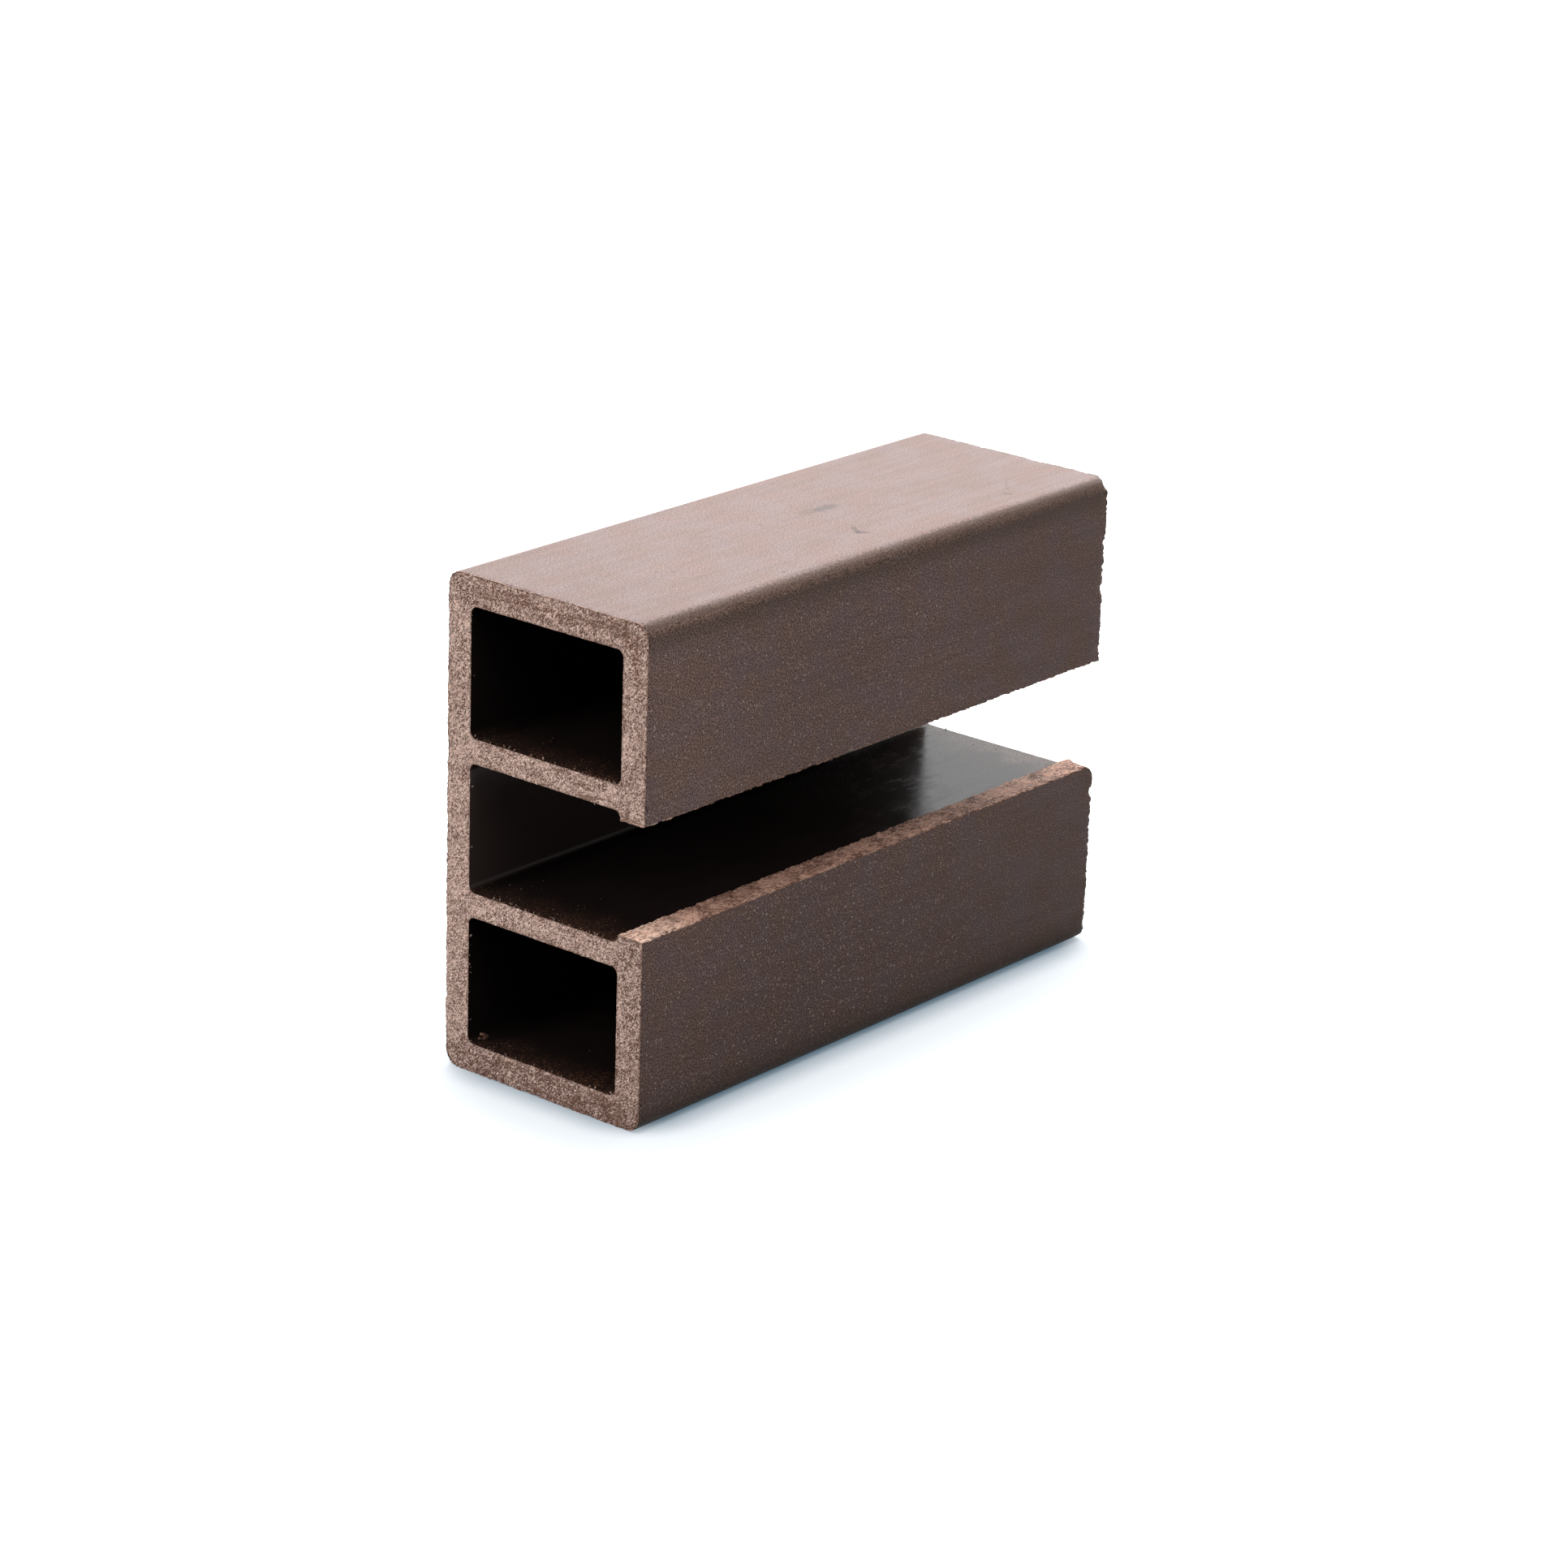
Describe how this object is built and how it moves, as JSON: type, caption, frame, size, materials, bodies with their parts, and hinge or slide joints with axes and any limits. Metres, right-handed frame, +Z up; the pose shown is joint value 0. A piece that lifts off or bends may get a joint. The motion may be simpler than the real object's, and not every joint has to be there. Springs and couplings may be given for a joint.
{
  "type": "composite fence u-profile",
  "caption": "Short sawn length of a hollow wood-plastic fence U-profile: a closed chamber above and below an open slot that takes a fence board's edge.",
  "frame": {"origin": "centre of the footprint, on the surface that the profile stands on", "axes": "+X along the extrusion, +Y from the slot face to the plain back face, +Z up across the chambers"},
  "size_m": [0.112, 0.04, 0.08],
  "materials": {
    "wood_plastic": "chocolate brown wood-plastic composite, brushed outside, smooth extruded skin inside, raw sawn ends and slot lips"
  },
  "bodies": {
    "root": {"u_profile": "wood_plastic"}
  },
  "joints": []
}
